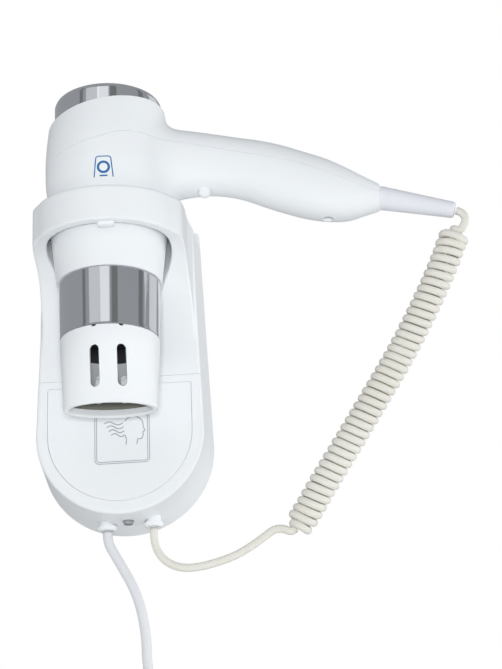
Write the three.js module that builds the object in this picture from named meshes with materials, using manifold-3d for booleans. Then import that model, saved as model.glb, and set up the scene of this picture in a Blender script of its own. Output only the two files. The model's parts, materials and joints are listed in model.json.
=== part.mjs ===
// A wall-mounted hair dryer: a wall base with a ring that holds the handset nozzle down, a handset with
// a motor, fan and heater, a curly cord between the two, and a mains lead with a plug.
// Millimetres. The wall is the plane y = 0, the dryer stands out towards -Y, +X is to the right of
// someone who faces it, +Z is up. The origin is on the back face of the back plate.
import * as THREE from "three";
import { mergeVertices } from "three/addons/utils/BufferGeometryUtils.js";
import Module from "manifold-3d";

const wasm = await Module();
wasm.setup();

// ---------------------------------------------------------------- driving dimensions
const GAP = 0.3; // clearance between neighbouring pieces
const WALL = 2.3; // thickness of the moulded shells

const BASE = {
  top: 87, // top edge of the back plate, which stands above the covers
  arcCentre: -64, // height of the centre of the round lower end
  halfTop: 49.4, // half width at the top, at the wall
  halfLow: 55, // half width at the round end, at the wall
  depth: 42, // from the wall to the front face
  taper: 0.05, // share by which the outline shrinks from the wall to the front
  corner: 5, // radius of the outline's two top corners
  plateCorner: 1.5, // the same on the back plate
  round: 4, // rounding of the front edge
  seam: -28.6, // height of the seam between the upper and the lower cover
  plate: 3, // thickness of the back plate
};
const RING = {
  outer: 45.5, // outer radius of the holder ring
  bore: 38.5, // its bore
  top: 64, // its top rim at the front
  topSlope: 0.105, // rise of the top, towards the wall
  low: 41, // its lower rim at the front
  lowSlope: 0.05, // rise of the lower rim, towards the wall
  flank: 44.8, // half width of the block that carries it, at its front corners
  flankFront: -97, // front of that block
  flankCorner: 5, // bevel of its front corners
  underside: 55, // radius of the hollow curve from the lower rim down into the base's front
};
const BARREL_Y = -81; // the barrel axis: x = 0, y = BARREL_Y
const RING_FRONT = BARREL_Y - RING.outer;
const TOP_AT_WALL = RING.top - RING.topSlope * RING_FRONT; // the covers' top edge at the wall
const PANEL = { halfWidth: 45, top: -33.6, inset: 8, thick: 1, corner: 1.5 };
const GLAND_Y = -20; // both cords leave the base on this line
const MAINS_GLAND = { x: -11, flange: -118.2 };
const CURLY_GLAND = { x: 17.7, flange: -117.2 };
const COVER_SCREW = { x: 2.6, y: -26 };

const NOZZLE = {
  top: -20.5,
  mouth: -64,
  turn: 5, // its turn about the barrel, in degrees
  wall: 1.6,
  lip: 2.8, // thickness of the wall along the mouth
  lipTop: -60, // height up to which it is thick
  slotX: 8.1, // the slots are this far from the middle
  slotWidth: 5.6,
  slotTop: -32.5,
  slotLow: -54.9,
};
const TUBE = { top: 29.7, end: -20.2, radius: 31.2, lowRadius: 30.3, wall: 1 };
const CLIP = { inner: 27, outer: 28.3, low: -23.5, high: -14 }; // the ring that snaps into the outlet tube
const RIM = { height: 128.5, tilt: 9.6 }; // slanted top edge of the housing at the axis, tilt in degrees
const CAP = { radius: 34, top: 141.4, bottom: 121 };
const HANDLE_END = { x: 169.7, z: 66.2 };
const SLEEVE = { length: 44.5, slope: 14.5, big: 7.3, small: 4.6 };
const BUTTON = { x: 60.6, y: BARREL_Y - 2.5, radius: 4.1, tip: 72.3, flange: 81.2 };
const HANDLE_SCREW_X = 136.4;
const CURLY = { cord: 2.5, coil: 9.5 }; // radii of the cord and of its coil
const MAINS = { cord: 3, coilRadius: 34.5, coilSection: 8.2 };
const FAN = { low: 110, high: 122 };

// The barrel's outer profile: radius and height, from the collar up to the back.
const BARREL_PROFILE = [
  [32.2, 17], [33.4, 27], [34.9, 40], [36.7, 53], [37.8, 62], [38.1, 68], [38.2, 74],
  [39.3, 84], [39.6, 95], [39.2, 108], [38.3, 118], [37.2, 128], [36, 136], [35.4, 142],
];
// The handle's sections: distance along X, top edge, bottom edge and half depth.
const HANDLE_SECTIONS = [
  [18, 121.5, 72, 20], [36, 121.5, 74, 19.2], [52, 118.7, 76.2, 17.6], [66, 115.7, 76.3, 16.8],
  [85, 111.3, 71.8, 16.5], [97, 108.6, 66.3, 16.8], [110, 104.5, 60.8, 17], [124, 98.7, 55.8, 16.8],
  [137, 93.2, 53, 15.8], [150, 85.8, 52.6, 13.6], [159, 80.2, 54.8, 10.8], [HANDLE_END.x, 73.8, 57.8, 7.8],
];
// The seam between the front housing and the rear cover, in side view.
const SEAM = [
  [-60, 87.4], [-40, 92.9], [0, 100.6], [15, 104.8], [30, 105.5], [45, 105], [60, 101.8], [76, 97.5],
  [92, 93.6], [112, 88.5], [145, 75], [158, 69.5], [HANDLE_END.x + 6, 64.5],
];

// ---------------------------------------------------------------- geometry helpers
// A closed geometry as a manifold solid, turned right side out.
function solid(geometry) {
  const bare = new THREE.BufferGeometry();
  bare.setAttribute("position", geometry.getAttribute("position").clone());
  if (geometry.index) bare.setIndex(geometry.index.clone());
  const merged = mergeVertices(bare, 1e-4);
  const kept = [];
  const index = merged.index.array;
  for (let i = 0; i < index.length; i += 3) {
    const [a, b, c] = [index[i], index[i + 1], index[i + 2]];
    if (a !== b && b !== c && c !== a) kept.push(a, b, c);
  }
  const vertProperties = new Float32Array(merged.attributes.position.array);
  const make = (corners) =>
    new wasm.Manifold(new wasm.Mesh({ numProp: 3, vertProperties, triVerts: new Uint32Array(corners) }));
  const made = make(kept);
  if (made.volume() > 0) return made;
  const turned = [];
  for (let i = 0; i < kept.length; i += 3) turned.push(kept[i], kept[i + 2], kept[i + 1]);
  return make(turned);
}

// A manifold solid as a geometry for a mesh.
function geometryOf(shape) {
  const mesh = shape.getMesh();
  const positions = [];
  for (const corner of mesh.triVerts) {
    const at = corner * mesh.numProp;
    positions.push(mesh.vertProperties[at], mesh.vertProperties[at + 1], mesh.vertProperties[at + 2]);
  }
  const geometry = new THREE.BufferGeometry();
  geometry.setAttribute("position", new THREE.Float32BufferAttribute(positions, 3));
  geometry.computeVertexNormals();
  return geometry;
}

const join = (...shapes) => shapes.reduce((sum, shape) => sum.add(shape));
const cut = (shape, ...tools) => tools.reduce((rest, tool) => rest.subtract(tool), shape);

// A box by its centre and size.
function box([x, y, z], [width, depth, height]) {
  return solid(new THREE.BoxGeometry(width, depth, height).translate(x, y, z));
}

// A turned piece about a vertical axis at (x, y). The profile is radius and height, and is closed here.
function turned(profile, x = 0, y = BARREL_Y, segments = 24) {
  const points = [...profile, profile[0]].map(([radius, height]) => new THREE.Vector2(radius, height));
  return solid(new THREE.LatheGeometry(points, segments).rotateX(Math.PI / 2).translate(x, y, 0));
}

function rod(radius, low, high, x = 0, y = BARREL_Y, segments = 16) {
  return turned([[0, low], [radius, low], [radius, high], [0, high]], x, y, segments);
}

function pipe(inner, outer, low, high, segments = 24) {
  return turned([[inner, low], [outer, low], [outer, high], [inner, high]], 0, BARREL_Y, segments);
}

// A round bar between two points.
function bar(from, to, radius, segments = 12) {
  const start = new THREE.Vector3(...from);
  const along = new THREE.Vector3(...to).sub(start);
  const geometry = new THREE.CylinderGeometry(radius, radius, along.length(), segments);
  geometry.applyQuaternion(
    new THREE.Quaternion().setFromUnitVectors(new THREE.Vector3(0, 1, 0), along.clone().normalize()),
  );
  geometry.translate(...start.add(along.multiplyScalar(0.5)));
  return solid(geometry);
}

// A tube of round section along a smooth curve through the points.
function tube(points, radius, steps, sides = 8) {
  const section = new THREE.Shape();
  section.setFromPoints(
    Array.from({ length: sides }, (_, i) => {
      const angle = (2 * Math.PI * i) / sides;
      return new THREE.Vector2(radius * Math.cos(angle), radius * Math.sin(angle));
    }),
  );
  const path = new THREE.CatmullRomCurve3(points.map((p) => new THREE.Vector3(...p)), false, "centripetal");
  return solid(new THREE.ExtrudeGeometry(section, { steps, extrudePath: path, curveSegments: 1 }));
}

// An outline in x and z pushed from the wall side `back` to the front side `front` (both as -y depths).
function pushed(shape, back, front, round = 0) {
  const bevel = round
    ? { bevelEnabled: true, bevelThickness: round, bevelSize: round, bevelOffset: -round, bevelSegments: 2 }
    : { bevelEnabled: false };
  const options = { depth: front - back - 2 * round, curveSegments: 14, ...bevel };
  return new THREE.ExtrudeGeometry(shape, options).translate(0, 0, back + round).rotateX(Math.PI / 2);
}

// A loft: rings along an axis, each a flattened circle (a superellipse) of its own half sizes.
// ringAt(i) gives { at, centre: [u, v], half: [a, b] }, place(at, u, v) turns them into a point.
function loft(ringAt, rings, place, power = 2.3, sides = 16) {
  const geometry = new THREE.CylinderGeometry(1, 1, rings - 1, sides, rings - 1);
  const position = geometry.getAttribute("position");
  for (let i = 0; i < position.count; i += 1) {
    const ring = ringAt(Math.round(position.getY(i) + (rings - 1) / 2));
    const [c, s] = [position.getX(i), position.getZ(i)];
    const length = Math.hypot(c, s);
    const flatten = (value) => Math.sign(value) * Math.abs(value / (length || 1)) ** (2 / power) * length;
    const u = ring.centre[0] + ring.half[0] * flatten(c);
    const v = ring.centre[1] + ring.half[1] * flatten(s);
    position.setXYZ(i, ...place(ring.at, u, v));
  }
  return solid(geometry);
}

// ---------------------------------------------------------------- materials
const paint = (color, roughness, metalness = 0) =>
  new THREE.MeshStandardMaterial({ color, roughness, metalness });
const MATERIAL = {
  plastic: paint(0xeef2f5, 0.25),
  sleeve: paint(0xe4e4f0, 0.45),
  chrome: paint(0xc8c8d0, 0.12, 1),
  curly: paint(0xe6e4dc, 0.5),
  lead: paint(0xdcdee2, 0.45),
  dark: paint(0x2c2c30, 0.6),
  steel: paint(0xb4b6ba, 0.3, 1),
  brass: paint(0xc9a85a, 0.35, 1),
  mica: paint(0x8b8876, 0.7),
  wire: paint(0x8c8378, 0.5, 1),
  board: paint(0x2f6b3c, 0.6),
};
const dryer = new THREE.Group();
function add(name, shape, material) {
  const mesh = new THREE.Mesh(geometryOf(shape), material);
  mesh.name = name;
  dryer.add(mesh);
  return mesh;
}

// ---------------------------------------------------------------- wall base
// The base's outline, drawn in x and z, smaller by `inset` all round.
function baseOutline(inset, topCorner) {
  const top = BASE.top - inset;
  const [halfTop, halfLow] = [BASE.halfTop - inset, BASE.halfLow - inset];
  const corner = Math.max(topCorner - inset, 1);
  const shape = new THREE.Shape();
  shape.moveTo(-halfLow, BASE.arcCentre);
  shape.absarc(0, BASE.arcCentre, halfLow, Math.PI, 2 * Math.PI, false);
  shape.lineTo(halfTop, top - corner);
  shape.absarc(halfTop - corner, top - corner, corner, 0, Math.PI / 2, false);
  shape.absarc(corner - halfTop, top - corner, corner, Math.PI / 2, Math.PI, false);
  shape.closePath();
  return shape;
}

// A block of the base's outline whose sides lean in towards the front.
function baseBlock(inset, back, front, round = 0, topCorner = BASE.corner) {
  const geometry = pushed(baseOutline(inset, topCorner), back, front, round);
  const position = geometry.getAttribute("position");
  for (let i = 0; i < position.count; i += 1) {
    const shrink = 1 - (BASE.taper * -position.getY(i)) / BASE.depth;
    const below = position.getZ(i) - BASE.arcCentre;
    position.setX(i, position.getX(i) * shrink);
    if (below < 0) position.setZ(i, BASE.arcCentre + below * shrink);
  }
  return solid(geometry);
}

const TALL = 400;
const above = (height) => box([0, 0, height + TALL / 2], [TALL, TALL, TALL]);
const below = (height) => box([0, 0, height - TALL / 2], [TALL, TALL, TALL]);
const inFront = (y) => box([0, y - TALL / 2, 0], [TALL, TALL, TALL]);
// Turns a shape that is drawn in y and z and pushed by TALL, so that it spans x about the middle.
const YZ_TO_X = new THREE.Matrix4().set(0, 0, 1, -TALL / 2, 1, 0, 0, 0, 0, 1, 0, 0, 0, 0, 0, 1);

// What lies above a plane that starts at `height` on the front of the ring and rises towards the wall.
function abovePlane(height, slope) {
  const back = 10;
  const side = new THREE.Shape(); // drawn in y and z
  side.moveTo(RING_FRONT - back, height - slope * back);
  side.lineTo(back, height + slope * (back - RING_FRONT));
  side.lineTo(back, TALL);
  side.lineTo(RING_FRONT - back, TALL);
  side.closePath();
  return solid(new THREE.ExtrudeGeometry(side, { depth: TALL, bevelEnabled: false }).applyMatrix4(YZ_TO_X));
}
const aboveTop = (inset) => abovePlane(RING.top - inset, RING.topSlope);

const baseOuter = cut(baseBlock(0, -6, BASE.depth, BASE.round).intersect(inFront(0)), aboveTop(0));
const baseInner = cut(baseBlock(WALL, -6, BASE.depth - WALL), aboveTop(WALL));

// What lies above the bracket's underside: the ring's lower rim, then a hollow curve into the base.
function aboveUnderside() {
  const { flankFront, low, lowSlope, underside } = RING;
  const rim = low + lowSlope * (flankFront - RING_FRONT);
  const margin = 10;
  const side = new THREE.Shape(); // drawn in y and z
  side.moveTo(RING_FRONT - margin, low - lowSlope * margin);
  side.lineTo(flankFront, rim);
  side.absarc(flankFront, rim - underside, underside, Math.PI / 2, 0, true);
  side.lineTo(margin, rim - underside);
  side.lineTo(margin, TALL);
  side.lineTo(RING_FRONT - margin, TALL);
  side.closePath();
  const options = { depth: TALL, bevelEnabled: false, curveSegments: 20 };
  return solid(new THREE.ExtrudeGeometry(side, options).applyMatrix4(YZ_TO_X));
}

// The bracket that carries the handset: a ring on a block that runs back to the base and widens a little.
function holderBracket() {
  const root = 1 - BASE.depth; // it starts just inside the front wall
  const rootHalf = 48.5;
  const [low, high] = [-40, 90]; // beyond the sloping top and the underside
  const plan = new THREE.Shape();
  plan.moveTo(-rootHalf, root);
  plan.lineTo(-RING.flank, RING.flankFront + RING.flankCorner);
  plan.lineTo(RING.flankCorner - RING.flank, RING.flankFront);
  plan.lineTo(RING.flank - RING.flankCorner, RING.flankFront);
  plan.lineTo(RING.flank, RING.flankFront + RING.flankCorner);
  plan.lineTo(rootHalf, root);
  plan.closePath();
  const block = solid(
    new THREE.ExtrudeGeometry(plan, { depth: high - low, bevelEnabled: false }).translate(0, 0, low),
  );
  const ring = rod(RING.outer, low, high, 0, BARREL_Y, 40);
  const band = cut(join(block, ring), aboveTop(0)).intersect(aboveUnderside()).intersect(inFront(root));
  const tab = box([3.5, BARREL_Y - RING.bore - 0.6, RING.low - 0.4], [9.5, 4, 2.8]);
  const pockets = [-1, 1].map((side) => // the corners beside the bore are hollow, open to the base
    cut(
      box([side * 36.5, -50, 57], [14, 22, 20]),
      rod(RING.bore + WALL, low, high, 0, BARREL_Y, 40),
    ));
  return { body: join(cut(band, rod(RING.bore, low, high, 0, BARREL_Y, 40)), tab), pockets };
}

const DOCK = { z: 34, tip: BARREL_Y + 35, radius: 2 };
const dockHole = bar(
  [0, -BASE.depth - 4, DOCK.z], [0, GAP - BASE.depth + WALL + 3, DOCK.z], DOCK.radius + 0.4);

function coverScrewHole() {
  const { x, y } = COVER_SCREW;
  return join(rod(2, -130, -104, x, y), rod(3.6, -130, -116.4, x, y));
}
const glandHole = (gland) => rod(5, -130, -106, gland.x, GLAND_Y);

// The back plate passes behind the upper cover from this height up.
const PLATE_STEP = 72;
const plateRoom = cut(above(PLATE_STEP - GAP), inFront(-BASE.plate - GAP));
const upperShell = cut(baseOuter, baseInner, below(BASE.seam), plateRoom);
const bracket = holderBracket();
add("upper_cover", cut(join(upperShell, bracket.body), dockHole, ...bracket.pockets), MATERIAL.plastic);

// The panel with the pictogram lies in a shallow recess of the lower cover.
function panelOutline(grow) {
  const half = PANEL.halfWidth + grow;
  const arc = BASE.halfLow * (1 - BASE.taper) - PANEL.inset + grow;
  const corner = PANEL.corner + grow;
  const shape = new THREE.Shape();
  shape.moveTo(-half, BASE.arcCentre);
  shape.absellipse(0, BASE.arcCentre, half, arc, Math.PI, 2 * Math.PI, false);
  shape.lineTo(half, PANEL.top + grow - corner);
  shape.absarc(half - corner, PANEL.top + grow - corner, corner, 0, Math.PI / 2, false);
  shape.absarc(corner - half, PANEL.top + grow - corner, corner, Math.PI / 2, Math.PI, false);
  shape.closePath();
  return shape;
}
const panelBack = BASE.depth - PANEL.thick;
const panelRecess = solid(pushed(panelOutline(GAP), panelBack - GAP, BASE.depth + 5));
add(
  "lower_cover",
  cut(
    baseOuter, baseInner, above(BASE.seam - GAP), panelRecess,
    coverScrewHole(), glandHole(MAINS_GLAND), glandHole(CURLY_GLAND),
  ),
  MATERIAL.plastic,
);
add("pictogram_panel", solid(pushed(panelOutline(0), panelBack, BASE.depth)), MATERIAL.plastic);

// The back plate: keyholes for the wall screws, and a post that takes the cover screw.
const keyhole = (x, z) => join(
  bar([x, 1, z], [x, -BASE.plate - 1, z], 5),
  bar([x, 1, z + 8], [x, -BASE.plate - 1, z + 8], 2.6),
  box([x, -BASE.plate / 2, z + 4], [5.2, BASE.plate + 2, 8]),
);
const KEYHOLES = [[-30, 42], [30, 42], [0, -78]];
const platePost = box([COVER_SCREW.x, -16.5, -105], [10, 28, 7]);
const plateInside = baseBlock(WALL + GAP + 0.2, 0, BASE.plate);
const plateTop = baseBlock(0, 0, BASE.plate, 0, BASE.plateCorner).intersect(above(PLATE_STEP));
add(
  "back_plate",
  cut(
    join(plateInside, plateTop, platePost),
    ...KEYHOLES.map(([x, z]) => keyhole(x, z)),
    rod(1.8, -115, -90, COVER_SCREW.x, COVER_SCREW.y),
  ),
  MATERIAL.plastic,
);

function screw(x, y, headLow, headRadius, shank, length) {
  const headHigh = headLow + 2.2;
  const body = turned(
    [[0, headLow], [headRadius * 0.8, headLow], [headRadius, headLow + 1], [headRadius, headHigh],
      [shank, headHigh], [shank, headHigh + length], [0, headHigh + length]], x, y, 20);
  return cut(body, box([x, y, headLow], [headRadius * 3, 0.8, 1.6]));
}
add("cover_screw", screw(COVER_SCREW.x, COVER_SCREW.y, -119, 3.2, 1.5, 13), MATERIAL.steel);

// The glands are flanged collars; the cords leave them downwards.
const gland = ({ x, flange }) => turned(
  [[0, flange - 3], [5, flange - 3], [6.2, flange - 2], [6.2, flange], [4.7, flange], [4.7, flange + 9],
    [0, flange + 9]], x, GLAND_Y, 18);
add("mains_gland", gland(MAINS_GLAND), MATERIAL.plastic);
add("curly_gland", gland(CURLY_GLAND), MATERIAL.plastic);

const clamp = (x) => cut(
  box([x, -12, -98], [12, 17, 6]),
  bar([x, -12, -106], [x, -12, -90], 2.6),
);
add("mains_cord_clamp", clamp(-19), MATERIAL.dark);
add("curly_cord_clamp", clamp(24), MATERIAL.dark);
add(
  "terminal_block",
  cut(
    box([0, -10.8, -62], [34, 15, 12]),
    ...[-12, 0, 12].map((x) => bar([x, -14, -62], [x, -25, -62], 2.4)),
  ),
  MATERIAL.plastic,
);
add(
  "dock_switch",
  cut(box([0, -28.5, DOCK.z], [20, 16, 10]), bar([0, -32, DOCK.z], [0, -40, DOCK.z], DOCK.radius + 0.4)),
  MATERIAL.dark,
);
add("dock_plunger", bar([0, -33, DOCK.z], [0, DOCK.tip, DOCK.z], DOCK.radius), MATERIAL.sleeve);

// ---------------------------------------------------------------- handset shells
const outerBarrel = turned([[0, 17], ...BARREL_PROFILE, [0, 142]], 0, BARREL_Y, 32);
const capSeat = CAP.radius + GAP;
const innerProfile = BARREL_PROFILE.filter(([, height]) => height > 31)
  .map(([radius, height]) => [height > 115 ? Math.max(radius - WALL, capSeat) : radius - WALL, height]);
const innerBarrel = turned(
  [[0, 10], [TUBE.radius + GAP, 10], [TUBE.radius + GAP, 31], ...innerProfile, [capSeat, 150], [0, 150]],
  0, BARREL_Y, 32,
);
const handleBlock = (inset) => loft(
  (i) => {
    const [x, top, bottom, half] = HANDLE_SECTIONS[i];
    const last = i === HANDLE_SECTIONS.length - 1;
    return {
      at: last ? x - 1.5 * inset : x,
      centre: [BARREL_Y, (top + bottom) / 2],
      half: [half - inset, (top - bottom) / 2 - inset],
    };
  },
  HANDLE_SECTIONS.length,
  (x, y, z) => [x, y, z],
);

// What lies above the slanted top edge of the housing.
function aboveRim() {
  const block = new THREE.BoxGeometry(TALL, TALL, TALL).translate(0, 0, TALL / 2);
  return solid(block.rotateY(THREE.MathUtils.degToRad(-RIM.tilt)).translate(0, BARREL_Y, RIM.height));
}

// What lies above the seam, raised by `lift`.
function aboveSeam(lift) {
  const shape = new THREE.Shape();
  SEAM.forEach(([x, z], i) => (i ? shape.lineTo(x, z + lift) : shape.moveTo(x, z + lift)));
  shape.lineTo(SEAM.at(-1)[0], 200);
  shape.lineTo(SEAM[0][0], 200);
  shape.closePath();
  return solid(pushed(shape, 0, 200));
}

const handsetShell = cut(join(outerBarrel, handleBlock(0)), innerBarrel, handleBlock(WALL), aboveRim());
const cordHole = bar(
  [HANDLE_END.x - 12, BARREL_Y, HANDLE_END.z + 3],
  [HANDLE_END.x + 5, BARREL_Y, HANDLE_END.z - 1.2],
  3.4,
);
const buttonHole = rod(BUTTON.radius + GAP, 60, 90, BUTTON.x, BUTTON.y);
const screwWell = rod(5, 54.5, 68, HANDLE_SCREW_X);
const screwWellBore = join(rod(3.4, 45, 61, HANDLE_SCREW_X), rod(1.7, 45, 75, HANDLE_SCREW_X));
const screwPost = cut(rod(4, 68.6, 91.5, HANDLE_SCREW_X), rod(1.7, 60, 86, HANDLE_SCREW_X));
add(
  "front_housing",
  cut(join(cut(handsetShell, aboveSeam(0)), screwWell), screwWellBore, buttonHole, cordHole),
  MATERIAL.plastic,
);
add(
  "rear_cover",
  join(cut(handsetShell.intersect(aboveSeam(GAP)), cordHole), screwPost),
  MATERIAL.plastic,
);
add("handle_screw", screw(HANDLE_SCREW_X, BARREL_Y, 58.4, 3, 1.3, 20), MATERIAL.steel);

// The chrome inlet cap with its grille and the filter behind it.
const capBody = turned(
  [[CAP.radius - 1.2, CAP.bottom], [CAP.radius, CAP.bottom], [CAP.radius, CAP.top - 1.5],
    [CAP.radius - 1.5, CAP.top], [30, CAP.top], [30, CAP.top - 1.5], [CAP.radius - 1.2, CAP.top - 3]],
  0, BARREL_Y, 32);
add("inlet_cap", capBody, MATERIAL.chrome);
function inletGrille() {
  const disc = rod(30 - GAP, 138.4, 140, 0, BARREL_Y, 28);
  const slots = [];
  for (const [radius, count, width] of [[10, 6, 4.5], [17.5, 10, 5.5], [25, 14, 6]]) {
    for (let i = 0; i < count; i += 1) {
      const slot = new THREE.BoxGeometry(4.2, width, 6)
        .translate(radius, 0, 139).rotateZ((2 * Math.PI * i) / count).translate(0, BARREL_Y, 0);
      slots.push(solid(slot));
    }
  }
  return cut(disc, ...slots);
}
add("inlet_grille", inletGrille(), MATERIAL.dark);
add("inlet_filter", rod(CAP.radius - 2, 132, 132.8, 0, BARREL_Y, 24), MATERIAL.dark);

// The chrome outlet tube. A ring snaps into its lower end, and the nozzle turns on the ring.
add(
  "outlet_tube",
  turned(
    [[TUBE.radius - TUBE.wall, TUBE.top], [TUBE.lowRadius - TUBE.wall, TUBE.end], [TUBE.lowRadius, TUBE.end],
      [TUBE.radius, 17], [TUBE.radius, TUBE.top]],
    0, BARREL_Y, 32),
  MATERIAL.chrome,
);

// The nozzle goes from round to a flat oval mouth, with two slots in the front and two in the back.
const NOZZLE_RINGS = [
  [NOZZLE.top, 30.3, 30.3], [-27, 30.1, 30.1], [-34, 29.7, 28.4], [-42, 29.2, 24], [-50, 28.7, 19.4],
  [-57, 28.3, 16.2], [NOZZLE.mouth, 28, 14.2],
];
const nozzleBlock = (inset, spare) => loft(
  (i) => {
    const [height, wide, deep] = NOZZLE_RINGS[i];
    const end = i === 0 ? spare : i === NOZZLE_RINGS.length - 1 ? -spare : 0;
    return { at: height + end, centre: [0, 0], half: [wide - inset, deep - inset] };
  },
  NOZZLE_RINGS.length,
  (z, x, y) => [x, y, z],
  2, 24,
);
function nozzleSlots() {
  const middle = (NOZZLE.slotTop + NOZZLE.slotLow) / 2;
  const end = NOZZLE.slotWidth / 2;
  const slot = (x, side) => join(
    box([x, side * 20, middle], [NOZZLE.slotWidth, 30, NOZZLE.slotTop - NOZZLE.slotLow - 2 * end]),
    bar([x, side * 5, NOZZLE.slotTop - end], [x, side * 35, NOZZLE.slotTop - end], end),
    bar([x, side * 5, NOZZLE.slotLow + end], [x, side * 35, NOZZLE.slotLow + end], end),
  );
  return [-1, 1].flatMap((side) => [slot(-NOZZLE.slotX, side), slot(NOZZLE.slotX, side)]);
}
const lipBlock = nozzleBlock(NOZZLE.lip, 1);
const nozzleInside = join(
  nozzleBlock(NOZZLE.wall, 1).intersect(above(NOZZLE.lipTop)),
  lipBlock.intersect(below(NOZZLE.lipTop + 1)),
);
const nozzleNotches = [-1, 1].map((side) => box([side * NOZZLE.slotX, 0, NOZZLE.top], [2.6, 80, 2]));
const turnNozzle = (mesh) => {
  mesh.rotation.z = THREE.MathUtils.degToRad(NOZZLE.turn);
  mesh.position.y = BARREL_Y;
};
turnNozzle(add(
  "nozzle", cut(nozzleBlock(0, 0), nozzleInside, ...nozzleSlots(), ...nozzleNotches), MATERIAL.plastic));

// A heat-proof mica liner lies against the inside of the nozzle, just above the lip of the mouth.
const LINER = { low: NOZZLE.lipTop + GAP, high: -53.4, wall: 0.9 };
const linerBlock = (inset) =>
  nozzleBlock(inset, 0).intersect(above(LINER.low)).intersect(below(LINER.high));
turnNozzle(add(
  "nozzle_liner",
  cut(
    linerBlock(NOZZLE.wall + GAP), nozzleBlock(NOZZLE.wall + GAP + LINER.wall, 1), ...nozzleSlots(),
  ),
  MATERIAL.mica,
));
add("nozzle_clip_ring", pipe(CLIP.inner, CLIP.outer, CLIP.low, CLIP.high), MATERIAL.dark);

function outletGrille() {
  const rings = [9, 18.5, 28.2].map((radius) => pipe(radius - 1.4, radius, -13.5, -11.5, 16));
  const spokes = [0, 45, 90, 135].map((angle) => {
    const spoke = new THREE.BoxGeometry(56, 1.4, 2).rotateZ(THREE.MathUtils.degToRad(angle));
    return solid(spoke.translate(0, BARREL_Y, -12.5));
  });
  return join(...rings, ...spokes);
}
add("outlet_grille", outletGrille(), MATERIAL.dark);

// ---------------------------------------------------------------- heater
const HEATER = { low: -4, high: 58, arm: 19.2, coil: 21.6, wire: 0.7, turns: 5 };
const heaterLength = HEATER.high - HEATER.low;
const heaterMiddle = (HEATER.high + HEATER.low) / 2;
add("mica_liner", pipe(26.6, 27.3, HEATER.low - 4, HEATER.high + 2), MATERIAL.mica);
add(
  "mica_cross",
  join(
    box([0, BARREL_Y, heaterMiddle], [2 * HEATER.arm, 1, heaterLength]),
    box([0, BARREL_Y, heaterMiddle], [1, 2 * HEATER.arm, heaterLength]),
  ),
  MATERIAL.mica,
);
function heaterWinding() {
  const points = [];
  const perTurn = 10;
  for (let i = 0; i <= HEATER.turns * perTurn; i += 1) {
    const angle = (2 * Math.PI * i) / perTurn;
    const height = HEATER.low + 5 + ((heaterLength - 10) * i) / (HEATER.turns * perTurn);
    points.push([HEATER.coil * Math.cos(angle), BARREL_Y + HEATER.coil * Math.sin(angle), height]);
  }
  return tube(points, HEATER.wire, HEATER.turns * perTurn, 4);
}
add("heater_coil", heaterWinding(), MATERIAL.wire);
add("thermostat", box([8, BARREL_Y - 5, 46], [9, 6, 10]), MATERIAL.brass);
add("thermal_fuse", rod(1.6, 30, 44, -6, BARREL_Y - 5, 12), MATERIAL.steel);

// ---------------------------------------------------------------- motor and fan
add("rectifier_board", box([0, BARREL_Y, 64], [26, 14, 1.6]), MATERIAL.board);
add(
  "motor",
  turned([[0, 70], [10, 70], [13.2, 73], [13.2, 101], [5, 101], [5, 104], [0, 104]], 0, BARREL_Y, 20),
  MATERIAL.steel,
);
function motorHolder() {
  const vanes = Array.from({ length: 6 }, (_, i) => {
    const vane = new THREE.BoxGeometry(20, 1.4, 14).rotateX(0.3).translate(24.3, 0, 88);
    return solid(vane.rotateZ((Math.PI * i) / 3).translate(0, BARREL_Y, 0));
  });
  return join(pipe(13.6, 15, 76, 98, 18), pipe(33.6, 35, 80, 96), ...vanes);
}
add("motor_holder", motorHolder(), MATERIAL.dark);
add("motor_shaft", rod(1.5, 104 + GAP, FAN.high - 2, 0, BARREL_Y, 16), MATERIAL.steel);
function fanShape() {
  const blades = Array.from({ length: 7 }, (_, i) => {
    const blade = new THREE.BoxGeometry(21, 1.4, 12).rotateX(0.75);
    blade.translate(18.5, 0, (FAN.low + FAN.high) / 2);
    return solid(blade.rotateZ((2 * Math.PI * i) / 7).translate(0, BARREL_Y, 0));
  });
  const hub = turned(
    [[0, FAN.low], [10, FAN.low], [10, FAN.high - 2], [7, FAN.high], [0, FAN.high]], 0, BARREL_Y, 20);
  return cut(join(hub, ...blades), rod(1.5 + GAP, 100, FAN.high - 1.5, 0, BARREL_Y, 16));
}
add("fan", fanShape(), MATERIAL.dark);

// ---------------------------------------------------------------- hold-to-run button and its switch
const STEM_TOP = 87.5;
add(
  "push_button",
  turned(
    [[0, BUTTON.tip], [1.6, BUTTON.tip + 0.35], [2.9, BUTTON.tip + 1.15], [3.8, BUTTON.tip + 2.5],
      [BUTTON.radius, BUTTON.tip + 4.1], [BUTTON.radius, BUTTON.flange], [5.2, BUTTON.flange],
      [5.2, BUTTON.flange + 1.2], [1.5, BUTTON.flange + 1.2], [1.5, STEM_TOP], [0, STEM_TOP]],
    BUTTON.x, BUTTON.y, 18),
  MATERIAL.plastic,
);
const SWITCH_BOTTOM = 92;
add(
  "microswitch",
  cut(
    box([BUTTON.x + 3, BUTTON.y, SWITCH_BOTTOM + 5], [20, 8, 10]),
    rod(1.4, 80, SWITCH_BOTTOM + 8, BUTTON.x, BUTTON.y, 12),
  ),
  MATERIAL.dark,
);
add("switch_plunger", rod(1.1, STEM_TOP + GAP, SWITCH_BOTTOM + 3.5, BUTTON.x, BUTTON.y, 12), MATERIAL.sleeve);
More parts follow.
